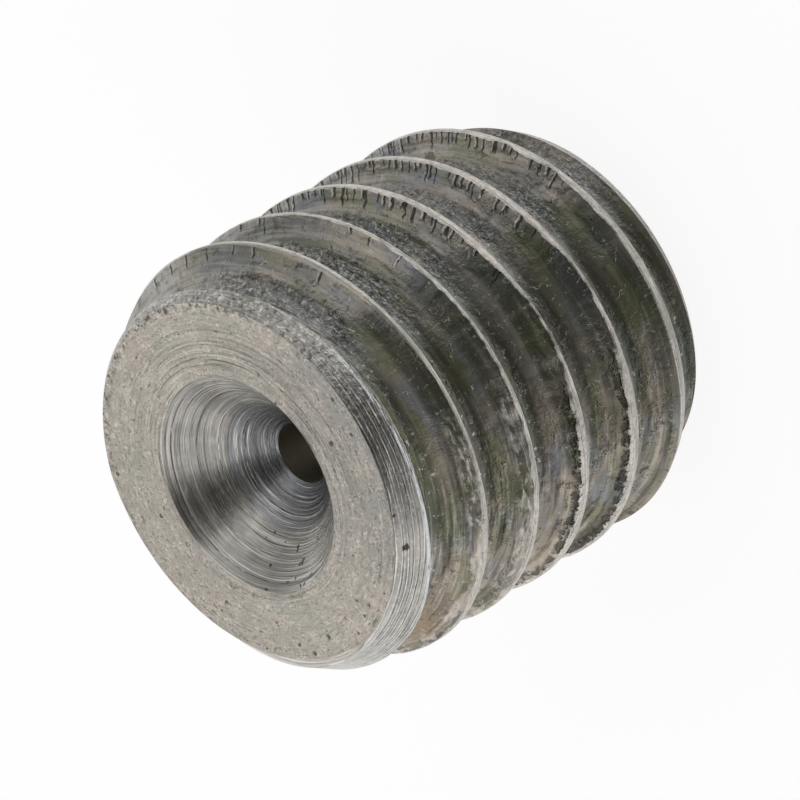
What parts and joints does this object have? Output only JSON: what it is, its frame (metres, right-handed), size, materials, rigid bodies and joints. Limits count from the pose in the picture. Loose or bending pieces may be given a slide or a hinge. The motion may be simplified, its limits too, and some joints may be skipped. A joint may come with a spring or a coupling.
{
  "type": "throttle screw",
  "caption": "Short headless steel screw with a right-hand external thread, a countersunk throttle bore along its axis and a hexagon socket in the other end.",
  "frame": {"origin": "centre of the socket end, on the axis, where the screw stands on the floor", "axes": "+Z along the axis, from the socket end up to the countersunk end; +X and +Y are across the screw, and the lower edge of a crest crosses the +X side 0.77 mm above the floor"},
  "size_m": [0.006, 0.006, 0.006],
  "materials": {
    "steel": "turned ends with fine concentric tool marks, bright worn crests, dull and dark thread flanks"
  },
  "bodies": {
    "root": {"throttle_screw": "steel"}
  },
  "joints": []
}
